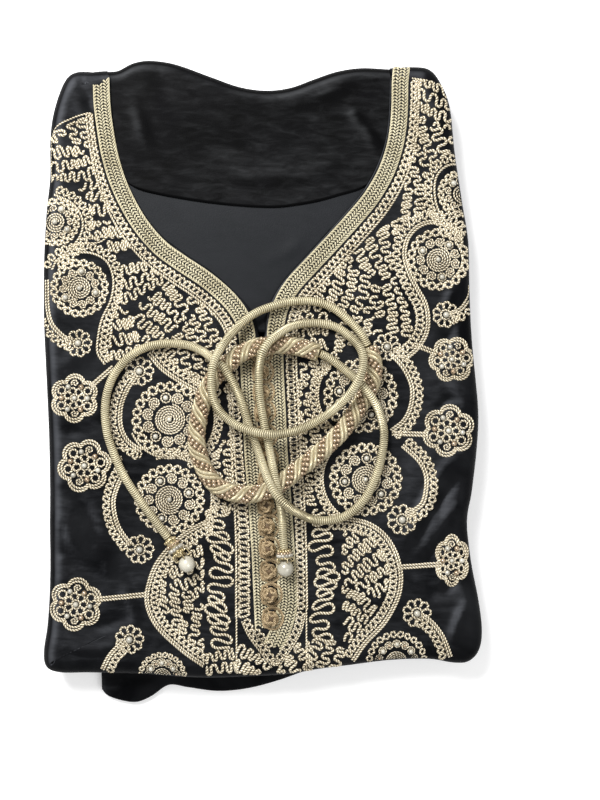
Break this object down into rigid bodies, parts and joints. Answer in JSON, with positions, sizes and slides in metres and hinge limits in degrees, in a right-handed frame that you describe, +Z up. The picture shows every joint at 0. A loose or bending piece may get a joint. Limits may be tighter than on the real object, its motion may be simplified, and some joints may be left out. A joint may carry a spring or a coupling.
{
  "type": "folded velvet kaftan",
  "caption": "Black velvet kaftan folded to a rectangle, neckline up, with gold braid, couched cord embroidery, knotted buttons and a loose cord belt.",
  "frame": {"origin": "middle of the bundle's bounding rectangle, belt left out, on the floor it lies on", "axes": "+X to the right of the folded front, +Y towards the neck, +Z up from the floor"},
  "size_m": [0.351, 0.5228, 0.0715],
  "materials": {
    "velvet": "black silk velvet, short pile with a cool sheen",
    "satin": "dark grey satin lining",
    "braid": "gold silk braid, herringbone",
    "couching": "champagne twisted cord, couched",
    "button": "gold silk knot",
    "belt_cord": "gold thread wrapped round a cord, fine ribs",
    "rope": "twisted gold cords with bands of rose gold beads",
    "cap": "worn gold metal",
    "pearl": "off-white pearl"
  },
  "bodies": {
    "root": {"back_facing": "velvet", "back_lining": "satin", "band_left_2": "couching", "band_left_3": "couching", "band_left_4": "couching", "band_right_2": "couching", "band_right_3": "couching", "band_right_4": "couching", "button_01": "button", "button_02": "button", "button_03": "button", "button_04": "button", "button_05": "button", "button_06": "button", "button_07": "button", "button_08": "button", "button_09": "button", "button_10": "button", "button_11": "button", "button_12": "button", "button_13": "button", "cap_a": "cap", "cap_b": "cap", "chest_border_left": "couching", "chest_border_right": "couching", "cord_a": "belt_cord", "cord_b": "belt_cord", "fan_left": "couching", "fan_right": "couching", "flower_left_1": "couching", "flower_left_2": "couching", "flower_left_3": "couching", "flower_right_1": "couching", "flower_right_2": "couching", "flower_right_3": "couching", "folded_core": "velvet", "front": "velvet", "medallion_left_1": "couching", "medallion_left_2": "couching", "medallion_left_3": "couching", "medallion_left_4": "couching", "medallion_right_1": "couching", "medallion_right_2": "couching", "medallion_right_3": "couching", "medallion_right_4": "couching", "neck_border_left": "couching", "neck_border_right": "couching", "pearl_a": "pearl", "pearl_b": "pearl", "rope": "rope", "sprig_left": "couching", "sprig_right": "couching", "trim_left": "braid", "trim_right": "braid", "under_layer": "velvet", "waist_border_left": "couching", "waist_border_right": "couching"}
  },
  "joints": []
}
